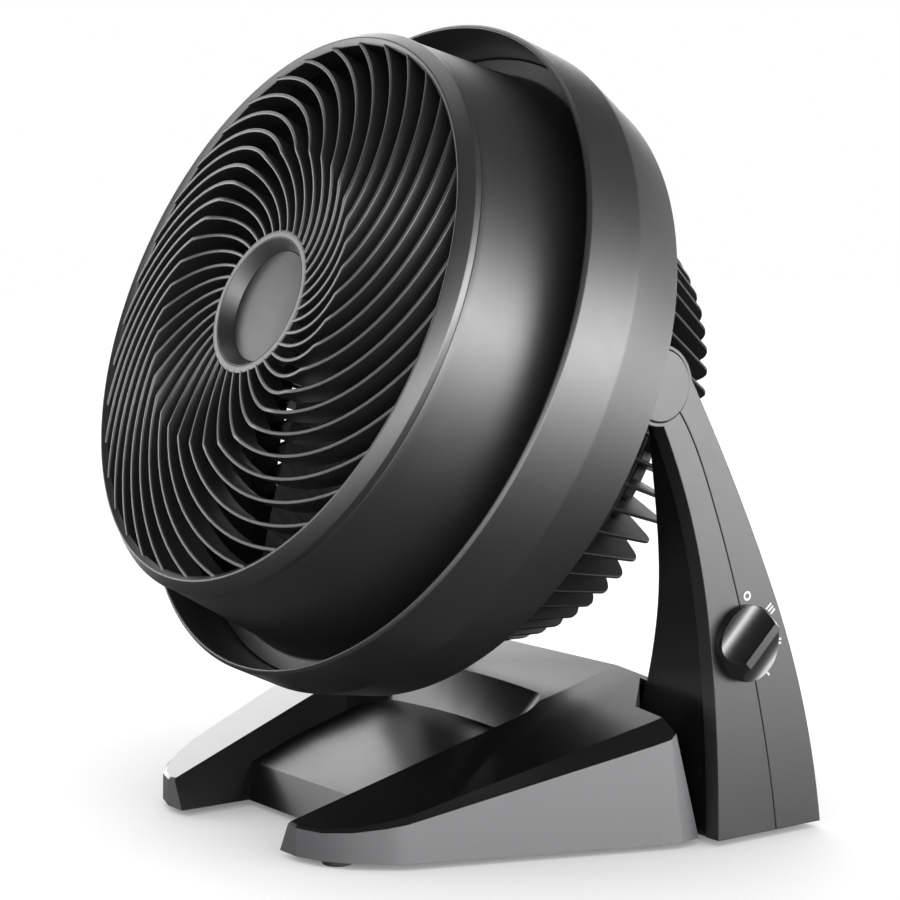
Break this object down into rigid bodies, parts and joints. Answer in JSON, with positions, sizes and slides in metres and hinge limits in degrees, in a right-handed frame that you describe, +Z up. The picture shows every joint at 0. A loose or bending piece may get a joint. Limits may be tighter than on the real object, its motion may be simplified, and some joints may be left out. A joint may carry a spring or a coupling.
{
  "type": "air circulator fan",
  "caption": "Air circulator fan with a ducted head, spiral-vaned front grille and outer ring, tilting between two arms of a forked base with a speed knob on one arm.",
  "frame": {"origin": "on the floor under the middle of the bounding box", "axes": "+X to the object's right seen from the front, +Z up, the head blows towards -Y"},
  "size_m": [0.3729, 0.2985, 0.4304],
  "materials": {
    "grille_plastic": "fine satin moulded plastic, charcoal",
    "head_plastic": "satin moulded plastic, charcoal",
    "base_plastic": "glossy moulded plastic, near black",
    "arm_plastic": "satin moulded plastic, charcoal",
    "badge_plastic": "plain grey disc",
    "knob_plastic": "glossy black plastic",
    "mark_paint": "white pad-printed marks",
    "blade_plastic": "glossy black plastic",
    "foot_rubber": "soft black rubber",
    "screw_steel": "zinc-plated steel",
    "motor_steel": "black painted sheet steel",
    "core_steel": "stacked electrical steel",
    "winding_copper": "enamelled copper wire",
    "bearing_bronze": "sintered bronze",
    "inner_plastic": "natural nylon",
    "lead_sheath": "black sleeved wires"
  },
  "bodies": {
    "base": {"base_shell": "base_plastic", "base_plate": "arm_plastic", "base_screws": "screw_steel", "arm_foot_screws": "screw_steel", "rubber_feet": "foot_rubber", "cord_gland": "lead_sheath", "capacitor": "inner_plastic", "terminal_block": "inner_plastic", "switch_lead": "lead_sheath", "switch_body": "inner_plastic", "switch_nut": "screw_steel", "dial_marks": "mark_paint", "arm_core_right": "base_plastic", "arm_core_left": "base_plastic", "arm_cover_front_right": "arm_plastic", "arm_cover_front_left": "arm_plastic", "arm_cover_rear_right": "arm_plastic", "arm_cover_rear_left": "arm_plastic", "cover_screws_right": "screw_steel", "cover_screws_left": "screw_steel", "pivot_bushing_right": "bearing_bronze", "pivot_bushing_left": "bearing_bronze", "friction_washer_right": "inner_plastic", "friction_washer_left": "inner_plastic", "pivot_cap_right": "arm_plastic", "pivot_cap_left": "arm_plastic"},
    "head": {"front_grille": "grille_plastic", "hub_bezel": "head_plastic", "badge_disc": "badge_plastic", "front_barrel": "head_plastic", "outer_ring": "head_plastic", "rear_grille": "grille_plastic", "motor_cap": "head_plastic", "ring_screws": "screw_steel", "rear_grille_screws": "screw_steel", "motor_screws": "screw_steel", "motor_rear_shell": "motor_steel", "motor_front_shell": "motor_steel", "motor_bearings": "bearing_bronze", "stator_core": "core_steel", "stator_windings": "winding_copper", "pivot_pin_right": "screw_steel", "pivot_pin_left": "screw_steel", "pivot_nut_right": "screw_steel", "pivot_nut_left": "screw_steel"},
    "rotor": {"rotor_core": "core_steel", "motor_shaft": "screw_steel", "propeller": "blade_plastic", "spinner_nut": "blade_plastic"},
    "knob": {"speed_knob": "knob_plastic", "switch_shaft": "screw_steel"}
  },
  "joints": [
    {"name": "head_tilt", "type": "hinge", "parent": "base", "child": "head", "pos_m": [0, 0.0333, 0.2421], "axis": [-1, 0, 0], "range_deg": [-22, 68]},
    {"name": "propeller_spin", "type": "hinge", "parent": "head", "child": "rotor", "pos_m": [0, -0.00847, 0.24657], "axis": [0, -0.9272, 0.3746], "continuous": true},
    {"name": "speed_knob_turn", "type": "hinge", "parent": "base", "child": "knob", "pos_m": [0.17, 0.0913, 0.1063], "axis": [1, 0, 0], "range_deg": [-89, 45]}
  ]
}
